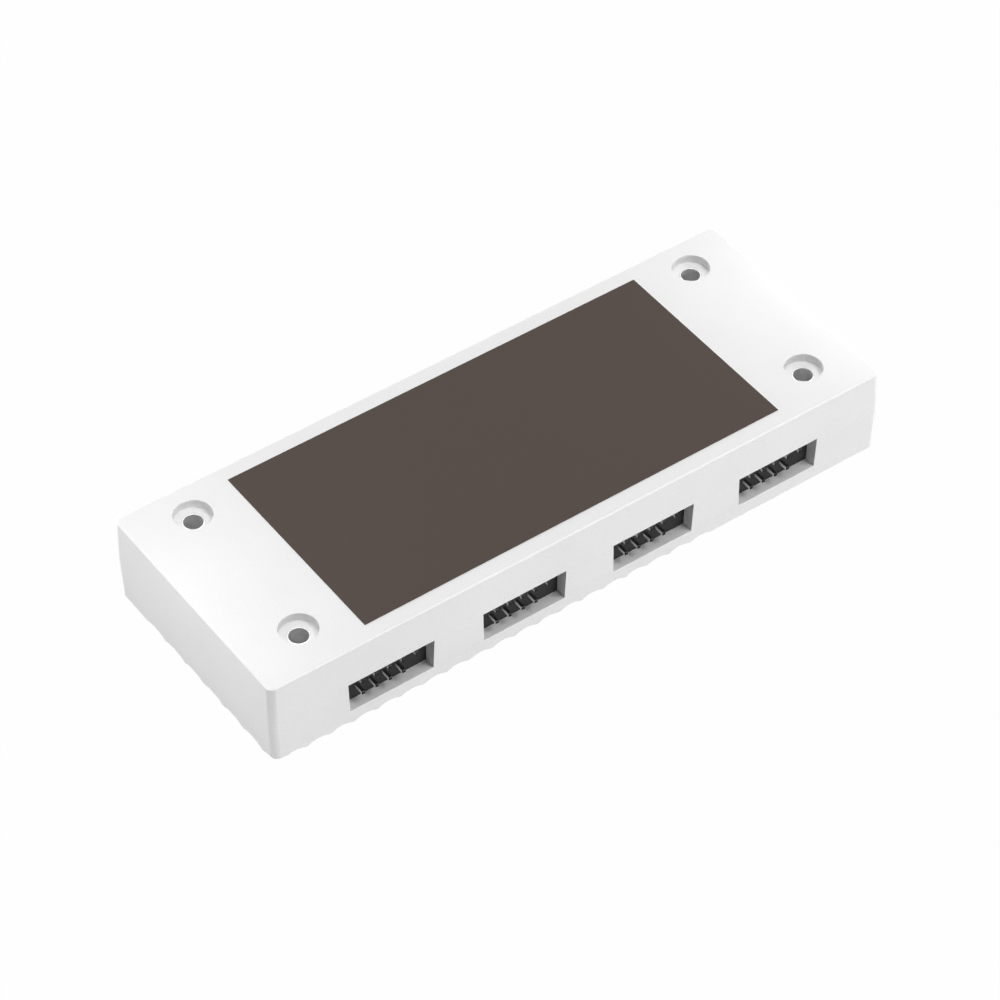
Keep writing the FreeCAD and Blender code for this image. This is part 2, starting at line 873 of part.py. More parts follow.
export("mounting_shell", mounting_shell())
export("cover_shell", cover_shell())
export("label", label())
export("screw_sleeves", screw_sleeves())
export("circuit_board", circuit_board())
for number, port in enumerate(ports, start=1):
    export("header_housing_" + str(number), header_housing(port))
    export("header_pins_" + str(number), header_pins(port))
export("power_socket", power_socket())
export("power_contacts", power_contacts())
export("upstream_shell", upstream_shell())
export("upstream_tongue", upstream_tongue())
export("upstream_contacts", upstream_contacts())
export("hub_controller", hub_controller())
export("controller_leads", controller_leads())
export("crystal", crystal())
export("regulator", regulator())
export("regulator_leads", regulator_leads())
export("capacitor_cans", capacitor_cans())
export("capacitor_bases", capacitor_bases())
export("resettable_fuses", Part.makeCompound(port_parts(fuse_shift_x, fuse_size)))
export("surge_arrays", Part.makeCompound(port_parts(surge_shift_x, surge_size)))
export("resistors", resistors())
export("ceramic_capacitors", ceramic_capacitors())
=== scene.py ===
"""Looks of the internal hub: finishes, small forms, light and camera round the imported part.

Lengths are in metres. X runs along the housing, +Y points to the back and +Z up through the label.
"""

import logging
import math
from collections.abc import Callable, Iterable
from dataclasses import dataclass
from enum import Enum
from functools import partial

import bmesh
import bpy
from mathutils import Matrix, Vector

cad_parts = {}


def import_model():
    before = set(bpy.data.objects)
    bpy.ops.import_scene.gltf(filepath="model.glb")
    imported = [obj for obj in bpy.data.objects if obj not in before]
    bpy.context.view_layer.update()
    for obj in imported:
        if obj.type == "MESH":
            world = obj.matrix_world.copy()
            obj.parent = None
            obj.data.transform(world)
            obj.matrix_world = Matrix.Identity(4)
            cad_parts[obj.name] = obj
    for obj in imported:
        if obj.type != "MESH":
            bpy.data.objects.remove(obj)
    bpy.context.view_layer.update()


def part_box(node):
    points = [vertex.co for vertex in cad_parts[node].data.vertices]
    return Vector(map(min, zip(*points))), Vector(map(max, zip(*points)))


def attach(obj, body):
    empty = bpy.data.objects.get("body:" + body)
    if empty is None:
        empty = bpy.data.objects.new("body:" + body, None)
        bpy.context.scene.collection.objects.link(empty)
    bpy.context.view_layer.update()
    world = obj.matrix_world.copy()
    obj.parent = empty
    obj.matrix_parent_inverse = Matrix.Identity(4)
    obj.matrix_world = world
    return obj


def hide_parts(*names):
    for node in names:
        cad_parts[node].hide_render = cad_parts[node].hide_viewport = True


MM = 0.001
HAIR = 0.001 * MM  # slack when two places are compared
MERGED = 0.0005 * MM  # points nearer than this are one
FLAT = 0.6  # degrees up to which two faces are one
SQUARE = 60.0  # degrees over which an edge counts as square
FACING = 0.9  # the least part of a normal along an axis that a face looks along
DECIMALS = 5  # of a metre, when solids are put in order
HEADERS = 4
log = logging.getLogger("hub")
Box = tuple[Vector, Vector]
Colour = tuple[float, float, float]
Stretch = tuple[float, float, float]


class Slot(str, Enum):
    """The record's material slots."""

    SHELL = "shell_plastic"
    LABEL = "label_film"
    SLEEVE = "sleeve_steel"
    BOARD = "board_laminate"
    INSULATOR = "insulator_plastic"
    PINS = "tinned_pins"
    GILT = "gilt_contacts"
    SOCKET = "socket_plastic"
    STEEL = "bright_steel"
    EPOXY = "package_epoxy"
    CAN = "can_aluminium"
    FUSE = "fuse_resin"
    RESISTOR = "resistor_ceramic"
    CERAMIC = "capacitor_ceramic"


class Wave:
    """A number socket that Python's operators work on, one Math node for each operation."""

    def __init__(self, tree: "Nodes", socket: bpy.types.NodeSocket) -> None:
        """Wraps a socket of a tree."""
        self.tree = tree
        self.socket = socket

    def maths(self, operation: str, *values: "Wave | float") -> "Wave":
        """Adds a Math node.

        Args:
            operation: the node's operation.
            values: its inputs, in order.

        Returns:
            The node's result.
        """
        return self.tree.wave("ShaderNodeMath", {"operation": operation}, dict(enumerate(values)))

    def __add__(self, other: "Wave | float") -> "Wave":
        """This plus other."""
        return self.maths("ADD", self, other)

    def __radd__(self, other: float) -> "Wave":
        """A number plus this."""
        return self.maths("ADD", other, self)

    def __sub__(self, other: "Wave | float") -> "Wave":
        """This less other."""
        return self.maths("SUBTRACT", self, other)

    def __rsub__(self, other: float) -> "Wave":
        """A number less this."""
        return self.maths("SUBTRACT", other, self)

    def __mul__(self, other: "Wave | float") -> "Wave":
        """This times other."""
        return self.maths("MULTIPLY", self, other)

    def __rmul__(self, other: float) -> "Wave":
        """A number times this."""
        return self.maths("MULTIPLY", other, self)

    def __truediv__(self, other: "Wave | float") -> "Wave":
        """This divided by other."""
        return self.maths("DIVIDE", self, other)

    def __neg__(self) -> "Wave":
        """This with the other sign."""
        return self.maths("MULTIPLY", self, -1.0)

    def __abs__(self) -> "Wave":
        """This without its sign."""
        return self.maths("ABSOLUTE", self)

    def __or__(self, other: "Wave") -> "Wave":
        """The greater of the two."""
        return self.maths("MAXIMUM", self, other)

    def above(self, level: float) -> "Wave":
        """1 where this is over a level, and 0 elsewhere."""
        return self.maths("GREATER_THAN", self, level)

    def below(self, level: float) -> "Wave":
        """1 where this is under a level, and 0 elsewhere."""
        return self.maths("LESS_THAN", self, level)

    def floor(self) -> "Wave":
        """The whole number below this."""
        return self.maths("FLOOR", self)

    def fraction(self) -> "Wave":
        """What is left above the whole number below this."""
        return self.maths("FRACT", self)

    def ramp(self, low: float, high: float) -> "Wave":
        """0 where this is below low, 1 above high, and smooth between."""
        return self.tree.wave("ShaderNodeMapRange", {"interpolation_type": "SMOOTHSTEP"},
                              {"Value": self, "From Min": low, "From Max": high})


class Nodes:
    """A node tree under construction."""

    def __init__(self, tree: bpy.types.NodeTree) -> None:
        """Empties a tree."""
        self.tree = tree
        tree.nodes.clear()

    def node(self, kind: str, settings: dict | None = None, inputs: dict | None = None) -> bpy.types.Node:
        """Adds a node.

        Args:
            kind: the node's type.
            settings: its properties, set before its sockets.
            inputs: values or links for its sockets, by name or number.

        Returns:
            The node.
        """
        made = self.tree.nodes.new(kind)
        for name, value in (settings or {}).items():
            setattr(made, name, value)
        for key, value in (inputs or {}).items():
            self.feed(made.inputs[key], value)
        return made

    def feed(self, socket: bpy.types.NodeSocket, value: object) -> None:
        """Links or sets a socket.

        Args:
            socket: the input.
            value: a wave or a socket to link, or a plain value to set.
        """
        if isinstance(value, Wave):
            value = value.socket
        if isinstance(value, bpy.types.NodeSocket):
            self.tree.links.new(value, socket)
        else:
            socket.default_value = value

    def wave(self, kind: str, settings: dict | None = None, inputs: dict | None = None,
             output: int | str = 0) -> Wave:
        """Adds a node and wraps one of its outputs.

        Args:
            kind: the node's type.
            settings: its properties.
            inputs: values or links for its sockets.
            output: the output that is wanted.

        Returns:
            That output.
        """
        return Wave(self, self.node(kind, settings, inputs).outputs[output])

    def parts(self, vector: bpy.types.NodeSocket) -> tuple[Wave, ...]:
        """A vector's X, Y and Z."""
        split = self.node("ShaderNodeSeparateXYZ", inputs={0: vector})
        return tuple(Wave(self, socket) for socket in split.outputs)

    def indirect(self) -> Wave:
        """Tells what is seen from what lights the object.

        Returns:
            1 for what the camera, gloss and clear surfaces see, and 0 for the rest.
        """
        path = self.node("ShaderNodeLightPath").outputs
        camera, gloss, clear = (Wave(self, path[name]) for name in
                                ("Is Camera Ray", "Is Glossy Ray", "Is Transmission Ray"))
        return camera | gloss | clear


class Shader(Nodes):
    """The tree of one finish, round its Principled shader."""

    def __init__(self, name: str) -> None:
        """Starts a material with a bare Principled shader.

        Args:
            name: the material's name.
        """
        self.material = bpy.data.materials.new(name)
        self.material.use_nodes = True
        super().__init__(self.material.node_tree)
        self.surface = self.node("ShaderNodeBsdfPrincipled")
        self.output = self.node("ShaderNodeOutputMaterial", inputs={"Surface": self.surface.outputs[0]})
        self.place = self.node("ShaderNodeTexCoord").outputs["Object"]

    def set(self, **inputs: "Wave | float | tuple") -> None:
        """Sets the Principled shader's sockets, with underscores for the spaces in their names."""
        for name, value in inputs.items():
            self.feed(self.surface.inputs[name.replace("_", " ")], value)

    def noise(self, size: float, detail: float = 2.0, stretch: Stretch | None = None) -> Wave:
        """Cloudy noise from 0 to 1.

        Args:
            size: how wide its blotches are.
            detail: octaves of finer noise on them.
            stretch: factors on the coordinates, below 1 along the way that streaks run.

        Returns:
            The noise.
        """
        place = self.place
        if stretch:
            place = self.node("ShaderNodeMapping", inputs={"Vector": place, "Scale": stretch}).outputs[0]
        return self.wave("ShaderNodeTexNoise", inputs={"Vector": place, "Scale": 1 / size, "Detail": detail})

    def facing(self) -> tuple[Wave, ...]:
        """The surface's normal along X, Y and Z."""
        return self.parts(self.node("ShaderNodeNewGeometry").outputs["Normal"])

    def mix(self, share: Wave, first: "Wave | Colour", second: "Wave | Colour") -> Wave:
        """Blends two colours.

        Args:
            share: how much of the second there is, from 0 to 1.
            first: a colour, as three numbers or a socket.
            second: the other.

        Returns:
            The blend.
        """
        inputs = {0: share}
        for number, colour in ((6, first), (7, second)):
            inputs[number] = (*colour, 1.0) if isinstance(colour, tuple) else colour
        return self.wave("ShaderNodeMix", {"data_type": "RGBA"}, inputs, 2)

    def mottled(self, tone: Wave, colour: Colour, spread: float) -> Wave:
        """A colour that goes from a share darker to a share lighter as the tone goes from 0 to 1."""
        return self.mix(tone, shade(colour, 1 - spread), shade(colour, 1 + spread))

    def bump(self, height: Wave, depth: float) -> None:
        """Raises the surface by a height from 0 to 1 times a depth."""
        made = self.node("ShaderNodeBump", inputs={"Height": height, "Distance": depth, "Strength": 1.0})
        self.set(Normal=made.outputs[0])


def shade(colour: Colour, factor: float) -> Colour:
    """A colour times a factor."""
    return tuple(min(1.0, channel * factor) for channel in colour)


@dataclass(frozen=True)
class Finish:
    """A named finish that makes its own material."""

    name: str

    def make(self) -> bpy.types.Material:
        """Builds the material."""
        raise NotImplementedError


@dataclass(frozen=True)
class Moulded(Finish):
    """Moulded plastic or epoxy: a spark-eroded grain, slow mottling and uneven gloss."""

    colour: Colour
    roughness: float
    grain: float = 0.28 * MM
    grain_depth: float = 0.004 * MM
    grain_gloss: float = 0.16
    cloud: float = 14 * MM
    cloud_gloss: float = 0.08
    cloud_share: float = 0.3
    speckle: float = 0.22 * MM
    mottle: float = 0.03
    reflection: float = 0.5

    def make(self) -> bpy.types.Material:
        """Builds the material.

        Returns:
            The material.
        """
        made = Shader(self.name)
        clouds = made.noise(self.cloud, 3)
        speckle = made.noise(self.speckle, 2)
        grain = made.noise(self.grain, 3)
        tone = clouds * self.cloud_share + speckle * (1 - self.cloud_share)
        smoothest = self.roughness - (self.grain_gloss + self.cloud_gloss) / 2
        made.set(
            Base_Color=made.mottled(tone, self.colour, self.mottle),
            Roughness=grain * self.grain_gloss + clouds * self.cloud_gloss + smoothest,
            Specular_IOR_Level=self.reflection,
        )
        made.bump(grain, self.grain_depth)
        return made.material


@dataclass(frozen=True)
class Metal(Finish):
    """Drawn, rolled or plated metal: fine streaks along one way, and dull patches."""

    colour: Colour
    roughness: float
    stretch: Stretch = (1.0, 0.06, 1.0)
    streak: float = 0.09 * MM
    dulled: float = 0.75
    streak_depth: float = 0.0015 * MM
    streak_gloss: float = 0.2
    streak_share: float = 0.3
    patch: float = 1.6 * MM
    patch_levels: tuple[float, float] = (0.4, 0.75)
    patch_gloss: float = 0.15
    patch_share: float = 0.6
    smoother: float = 0.12

    def make(self) -> bpy.types.Material:
        """Builds the material.

        Returns:
            The material.
        """
        made = Shader(self.name)
        streaks = made.noise(self.streak, 3, self.stretch)
        patches = made.noise(self.patch, 4).ramp(*self.patch_levels)
        tone = patches * self.patch_share + streaks * self.streak_share
        smoothest = self.roughness - self.smoother
        made.set(
            Base_Color=made.mix(tone, self.colour, shade(self.colour, self.dulled)),
            Metallic=1.0,
            Roughness=streaks * self.streak_gloss + patches * self.patch_gloss + smoothest,
        )
        made.bump(streaks, self.streak_depth)
        return made.material


@dataclass(frozen=True)
class Film(Finish):
    """Matt printed film: an even tone with a faint screen and a soft orange-peel coat."""

    colour: Colour
    roughness: float
    coat: float = 0.9 * MM
    coat_gloss: float = 0.12
    coat_share: float = 0.7
    screen: float = 0.12 * MM
    mottle: float = 0.05
    depth: float = 0.0025 * MM
    reflection: float = 0.2

    def make(self) -> bpy.types.Material:
        """Builds the material.

        Returns:
            The material.
        """
        made = Shader(self.name)
        coat = made.noise(self.coat, 3)
        screen = made.noise(self.screen, 1)
        tone = coat * 0.5 + screen * 0.5
        made.set(
            Base_Color=made.mottled(tone, self.colour, self.mottle),
            Roughness=coat * self.coat_gloss + (self.roughness - self.coat_gloss / 2),
            Specular_IOR_Level=self.reflection,
        )
        made.bump(coat * self.coat_share + screen * (1 - self.coat_share), self.depth)
        return made.material


@dataclass(frozen=True)
class Laminate(Finish):
    """Circuit board: solder mask over copper tracks, with the bare glass laminate on its cut edges."""

    mask: Colour
    tracks: Colour
    edge: Colour
    pitch: float = 1.27 * MM
    track_share: float = 0.3
    blank_lanes: float = 0.6
    runs: tuple[float, float] = (9 * MM, 14 * MM)
    copper_share: float = 0.8
    copper_depth: float = 0.03 * MM
    weave: float = 0.16 * MM
    weave_stretch: Stretch = (1.0, 0.25, 1.0)
    weave_shade: float = 0.6
    weave_rise: float = 0.12
    weave_gloss: float = 0.15
    edge_roughness: float = 0.62
    mask_gloss: float = 0.3

    def make(self) -> bpy.types.Material:
        """Builds the material.

        Returns:
            The material.
        """
        made = Shader(self.name)
        x, y, _ = made.parts(made.place)
        copper = self.lanes(made, x, y, self.runs[0]) | self.lanes(made, y, x, self.runs[1])
        weave = made.noise(self.weave, 2, self.weave_stretch)
        face = abs(made.facing()[2]).above(0.5)
        tone = copper * self.copper_share + weave * (1 - self.copper_share)
        painted = made.mix(tone, self.mask, self.tracks)
        bare = made.mix(weave, self.edge, shade(self.edge, self.weave_shade))
        made.set(
            Base_Color=made.mix(face, bare, painted),
            Roughness=weave * self.weave_gloss + (self.edge_roughness - face * self.mask_gloss),
        )
        made.bump(copper * face + weave * self.weave_rise, self.copper_depth)
        return made.material

    def lanes(self, made: Shader, side: Wave, run: Wave, length: float) -> Wave:
        """Tracks side by side, broken at random.

        Args:
            made: the shader that they are drawn in.
            side: the coordinate across the tracks.
            run: the coordinate along them.
            length: the stretch after which a track may end.

        Returns:
            1 on a track, and 0 beside it.
        """
        lane = side / self.pitch
        cell = made.node("ShaderNodeCombineXYZ", inputs={0: lane.floor(), 1: (run / length).floor()})
        chance = made.wave("ShaderNodeTexWhiteNoise", {"noise_dimensions": "3D"}, {"Vector": cell.outputs[0]})
        return lane.fraction().below(self.track_share) * chance.above(self.blank_lanes)


@dataclass(frozen=True)
class Pins(Finish):
    """Pins cut from tinned strip, coloured by facing with painted light: the dark broad faces and black cut
    ends are painted shade, and the pale satin sides a painted highlight.
    """

    # These three colours are painted light: the broad faces' colour is painted shade, the sides' colour a
    # painted highlight, and the ends' colour painted shade that makes them black.
    painted_dark_plate: Colour
    side: Colour
    end: Colour
    plate_roughness: float = 0.12
    side_roughness: float = 0.6
    end_roughness: float = 0.52
    side_slant: float = 0.75
    end_slant: float = 0.4
    end_depth: float = -20 * MM  # the cut ends lie in front of this
    draw: float = 0.05 * MM
    draw_stretch: Stretch = (1.0, 0.08, 1.0)
    draw_gloss: float = 0.1
    draw_depth: float = 0.002 * MM
    stain: float = 0.7 * MM
    stain_levels: tuple[float, float] = (0.45, 0.8)
    stained_plate: float = 0.75
    stained_side: float = 0.85
    reflection: float = 0.1

    def make(self) -> bpy.types.Material:
        """Builds the material.

        Returns:
            The material.
        """
        made = Shader(self.name)
        across, along, _ = made.facing()
        # faces along X, the sides, get the painted highlight
        sides_painted_bright = abs(across).above(self.side_slant)
        _, depth, _ = made.parts(made.place)
        # the cut ends at the front get black painted shade
        cut = depth.below(self.end_depth) * (-along).above(self.end_slant)
        draw = made.noise(self.draw, 3, self.draw_stretch)
        stain = made.noise(self.stain, 3).ramp(*self.stain_levels)
        # painted shade on the broad faces and painted highlight on the sides, each mottled by real stains
        painted_dark_plate = made.mix(stain, self.painted_dark_plate, shade(self.painted_dark_plate, self.stained_plate))
        sides = made.mix(stain, self.side, shade(self.side, self.stained_side))
        side_rise = self.side_roughness - self.plate_roughness
        end_rise = self.end_roughness - self.plate_roughness
        smoothest = self.plate_roughness - self.draw_gloss / 2
        made.set(
            Base_Color=made.mix(cut, made.mix(sides_painted_bright, painted_dark_plate, sides), self.end),
            Metallic=1.0 - cut,
            Specular_IOR_Level=self.reflection,
            Roughness=sides_painted_bright * side_rise + cut * end_rise + draw * self.draw_gloss + smoothest,
        )
        made.bump(draw, self.draw_depth)
        return made.material


WHITE_SHELL = Moulded("white_shell_plastic", (0.86, 0.86, 0.86), 0.5, mottle=0.14)
BLACK_INSULATOR = Moulded("black_insulator_plastic", (0.025, 0.025, 0.026), 0.6, reflection=0.2)
SOCKET_PLASTIC = Moulded("black_socket_plastic", (0.022, 0.022, 0.023), 0.42)
CHIP_EPOXY = Moulded("chip_epoxy", (0.028, 0.028, 0.03), 0.55, grain=0.09 * MM, grain_depth=0.006 * MM)
FUSE_RESIN = Moulded("green_fuse_resin", (0.05, 0.2, 0.1), 0.35, mottle=0.12)
RESISTOR_GLAZE = Moulded("black_resistor_glaze", (0.03, 0.03, 0.032), 0.3, mottle=0.1)
CAPACITOR_CERAMIC = Moulded("tan_capacitor_ceramic", (0.42, 0.3, 0.18), 0.5, mottle=0.1)
SLEEVE_STEEL = Metal("zinc_sleeve_steel", (0.83, 0.83, 0.83), 0.5, (1.0, 1.0, 0.06), dulled=0.9)
# Painted light: dark broad faces and black ends are painted shade, and near-white sides a painted highlight.
PIN_STRIP_PAINTED_LIGHT = Pins("tinned_pin_strip", (0.32, 0.315, 0.3), (0.98, 0.97, 0.96), (0.012, 0.012, 0.012))
TINNED = Metal("tinned_lead_metal", (0.72, 0.71, 0.69), 0.3)
GILT = Metal("gilt_contact_metal", (0.86, 0.63, 0.25), 0.28)
BRIGHT_STEEL = Metal("nickel_steel", (0.66, 0.65, 0.63), 0.3, (0.06, 1.0, 1.0))
CAN_ALUMINIUM = Metal("can_aluminium", (0.8, 0.8, 0.81), 0.3, (1.0, 1.0, 0.05))
SOLDER = Metal("soft_solder", (0.7, 0.7, 0.71), 0.25, (1.0, 1.0, 1.0), 0.3 * MM, 0.6)
LABEL_FILM = Film("dark_label_film", (0.0785, 0.0597, 0.0522), 0.75)
BOARD = Laminate("green_board_laminate", (0.02, 0.09, 0.05), (0.04, 0.16, 0.08), (0.32, 0.3, 0.16))


class Stock:
    """Every finish as a material, made once."""

    def __init__(self) -> None:
        """Starts with nothing made."""
        self.made: dict[str, bpy.types.Material] = {}

    def get(self, finish: Finish) -> bpy.types.Material:
        """The material of a finish.

        Args:
            finish: the finish.

        Returns:
            Its material.
        """
        if finish.name not in self.made:
            self.made[finish.name] = finish.make()
        return self.made[finish.name]


stock = Stock()


class Piece:
    """One mesh on the bench: a primitive or a copy of a node, shaped in edit mode and then dressed."""

    def __init__(self, shape: bpy.types.Object, name: str) -> None:
        """Takes over an object and names it.

        Args:
            shape: the object.
            name: its new name.
        """
        self.shape = shape
        shape.name = name
        shape.data.name = name

    @staticmethod
    def clear() -> None:
        """Leaves edit mode and deselects everything."""
        if bpy.context.object and bpy.context.object.mode != "OBJECT":
            bpy.ops.object.mode_set(mode="OBJECT")
        bpy.ops.object.select_all(action="DESELECT")

    @classmethod
    def block(cls, name: str, low: Vector, high: Vector) -> "Piece":
        """A box.

        Args:
            name: its name.
            low: its lowest corner.
            high: its highest corner.

        Returns:
            The box.
        """
        cls.clear()
        bpy.ops.mesh.primitive_cube_add(size=1.0, location=(low + high) / 2, scale=high - low)
        bpy.ops.object.transform_apply(location=True, rotation=True, scale=True)
        return cls(bpy.context.object, name)

    @classmethod
    def rod(cls, name: str, foot: Vector, radius: float, height: float, sides: int) -> "Piece":
        """An upright cylinder.

        Args:
            name: its name.
            foot: the middle of its lower end.
            radius: its radius.
            height: its height.
            sides: flats round it.

        Returns:
            The cylinder.
        """
        cls.clear()
        middle = foot + Vector((0, 0, height / 2))
        bpy.ops.mesh.primitive_cylinder_add(vertices=sides, radius=radius, depth=height, location=middle)
        bpy.ops.object.transform_apply(location=True, rotation=True, scale=True)
        return cls(bpy.context.object, name)

    @classmethod
    def of_node(cls, node: str, name: str) -> "Piece":
        """A merged copy of a node, its flat faces whole again.

        Args:
            node: the node.
            name: the copy's name.

        Returns:
            The copy.
        """
        cls.clear()
        shape = bpy.data.objects.new(name, bpy.data.objects[node].data.copy())
        bpy.context.scene.collection.objects.link(shape)
        made = cls(shape, name)
        made.edit("remove_doubles", threshold=MERGED)
        made.edit("dissolve_limited", angle_limit=math.radians(FLAT))
        return made

    def open(self, kind: str = "FACE") -> bmesh.types.BMesh:
        """Opens the mesh in edit mode.

        Args:
            kind: the kind of element to select, VERT, EDGE or FACE.

        Returns:
            The open mesh.
        """
        if self.shape.mode != "EDIT":
            self.take()
            bpy.ops.object.mode_set(mode="EDIT")
        bpy.ops.mesh.select_mode(type=kind)
        return bmesh.from_edit_mesh(self.shape.data)

    def edit(self, operator: str, **settings: object) -> "Piece":
        """Runs an edit mode operator on the whole mesh.

        Args:
            operator: the operator's name.
            settings: its settings.

        Returns:
            This piece.
        """
        self.open()
        bpy.ops.mesh.select_all(action="SELECT")
        getattr(bpy.ops.mesh, operator)(**settings)
        bpy.ops.object.mode_set(mode="OBJECT")
        return self

    def on_faces(self, test: Callable[[Vector, Vector], bool], operator: Callable,
                 **settings: object) -> "Piece":
        """Runs an operator on the faces that pass a test.

        Args:
            test: says yes or no to a face's middle and normal.
            operator: an edit mode operator.
            settings: the operator's settings.

        Returns:
            This piece.
        """
        mesh = self.open("FACE")
        bpy.ops.mesh.select_all(action="DESELECT")
        for face in mesh.faces:
            face.select_set(test(face.calc_center_median(), face.normal))
        bmesh.update_edit_mesh(self.shape.data)
        operator(**settings)
        bpy.ops.object.mode_set(mode="OBJECT")
        return self

    def on_edges(self, test: Callable[[bmesh.types.BMEdge], bool], operator: Callable,
                 **settings: object) -> "Piece":
        """Runs an operator on the edges that pass a test.

        Args:
            test: says yes or no to an edge.
            operator: an edit mode operator.
            settings: the operator's settings.

        Returns:
            This piece.
        """
        mesh = self.open("EDGE")
        bpy.ops.mesh.select_all(action="DESELECT")
        for edge in mesh.edges:
            edge.select_set(test(edge))
        bmesh.update_edit_mesh(self.shape.data)
        if any(edge.select for edge in mesh.edges):
            operator(**settings)
        bpy.ops.object.mode_set(mode="OBJECT")
        return self

    def cut(self, point: Vector, normal: Vector) -> "Piece":
        """Cuts an edge loop round the piece on a plane."""
        return self.edit("bisect", plane_co=point, plane_no=normal)

    def round_edges(self, width: float, segments: int = 2, sharper_than: float = 35.0,
                    where: Callable[[Vector], bool] = lambda middle: True) -> "Piece":
        """Rounds the sharp edges.

        Args:
            width: the rounding's width.
            segments: its facets.
            sharper_than: the least angle between an edge's faces, in degrees.
            where: says yes or no to an edge's middle.

        Returns:
            This piece.
        """
        least = math.radians(sharper_than)

        def sharp(edge: bmesh.types.BMEdge) -> bool:
            """Whether an edge is rounded."""
            middle = (edge.verts[0].co + edge.verts[1].co) / 2
            return edge.calc_face_angle(0.0) > least and where(middle)

        return self.on_edges(sharp, bpy.ops.mesh.bevel, offset=width, segments=segments, profile=0.5,
                             affect="EDGES", clamp_overlap=True)

    def drill(self, foot: Vector, radius: float, depth: float, sides: int = 20) -> "Piece":
        """Sinks a round hole upwards.

        Args:
            foot: the middle of its mouth.
            radius: its radius.
            depth: its depth.
            sides: flats round it.

        Returns:
            This piece.
        """
        tool = Piece.rod("drill", foot - Vector((0, 0, depth)), radius, 2 * depth, sides)
        self.take()
        self.apply("BOOLEAN", operation="DIFFERENCE", object=tool.shape)
        bpy.data.objects.remove(tool.shape)
        return self

    def take(self) -> None:
        """Selects the piece alone and makes it the active one."""
        self.clear()
        self.shape.select_set(True)
        bpy.context.view_layer.objects.active = self.shape

    def apply(self, kind: str, **settings: object) -> None:
        """Adds a modifier and applies it.

        Args:
            kind: the modifier's type.
            settings: its settings.
        """
        modifier = self.shape.modifiers.new(kind.lower(), kind)
        for name, value in settings.items():
            setattr(modifier, name, value)
        bpy.ops.object.modifier_apply(modifier=modifier.name)

    def twin(self, shift: Vector) -> "Piece":
        """A copy with its own mesh, moved.

        Args:
            shift: how far it is moved.

        Returns:
            The copy.
        """
        self.clear()
        shape = bpy.data.objects.new(self.shape.name, self.shape.data.copy())
        bpy.context.scene.collection.objects.link(shape)
        shape.data.transform(Matrix.Translation(shift))
        return Piece(shape, shape.name)

    def join(self, others: Iterable["Piece"]) -> "Piece":
        """Takes other pieces into this one.

        Args:
            others: the pieces.

        Returns:
            This piece.
        """
        self.take()
        for other in others:
            other.shape.select_set(True)
        bpy.ops.object.join()
        return self

    def dress(self, finish: Finish, slot: Slot, *nodes: str, smooth: float = 32.0) -> "Piece":
        """Gives the piece its finish and its place on the hub.

        Args:
            finish: the finish all over.
            slot: the record's slot that it stands for; not used.
            nodes: the nodes that the piece replaces.
            smooth: the angle up to which edges are shaded smooth, in degrees.

        Returns:
            This piece.
        """
        self.take()
        bpy.ops.object.shade_smooth_by_angle(angle=math.radians(smooth))
        self.apply("WEIGHTED_NORMAL", mode="FACE_AREA", weight=100, keep_sharp=True)
        self.shape.data.materials.clear()
        self.shape.data.materials.append(stock.get(finish))
        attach(self.shape, "root")
        if nodes:
            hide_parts(*nodes)
        log.info("%s: %d faces", self.shape.name, len(self.shape.data.polygons))
        return self

    def coat(self, finish: Finish, where: Callable[[Vector], bool]) -> None:
        """Gives some faces of a dressed piece a second finish.

        Args:
            finish: the finish.
            where: says yes or no to a face's middle.
        """
        self.shape.data.materials.append(stock.get(finish))
        for face in self.shape.data.polygons:
            face.material_index = int(where(face.center))


def solids_of(node: str) -> list[Box]:
    """Boxes round a node's separate solids.

    Args:
        node: the node.

    Returns:
        A box for each solid, from front to back and from left to right.
    """
    mesh = bmesh.new()
    mesh.from_mesh(bpy.data.objects[node].data)
    bmesh.ops.remove_doubles(mesh, verts=mesh.verts, dist=MERGED)
    left = set(mesh.verts)
    boxes = []
    while left:
        found = [left.pop()]
        for vert in found:
            for edge in vert.link_edges:
                other = edge.other_vert(vert)
                if other in left:
                    left.remove(other)
                    found.append(other)
        low = Vector(min(vert.co[i] for vert in found) for i in range(3))
        high = Vector(max(vert.co[i] for vert in found) for i in range(3))
        boxes.append((low, high))
    mesh.free()
    return sorted(boxes, key=lambda box: (round(box[0].y, DECIMALS), round(box[0].x, DECIMALS)))


def repeated(name: str, boxes: list[Box], model: Callable[[Vector, Vector], Piece]) -> Piece:
    """Models one of several like things and copies it to the places of the others.

    Args:
        name: their name.
        boxes: a box round each of them.
        model: makes the first from its box's lowest and highest corners.

    Returns:
        All of them as one piece.
    """
    first = model(*boxes[0])
    copies = [first.twin(low - boxes[0][0]) for low, _ in boxes[1:]]
    return Piece(first.join(copies).shape, name)


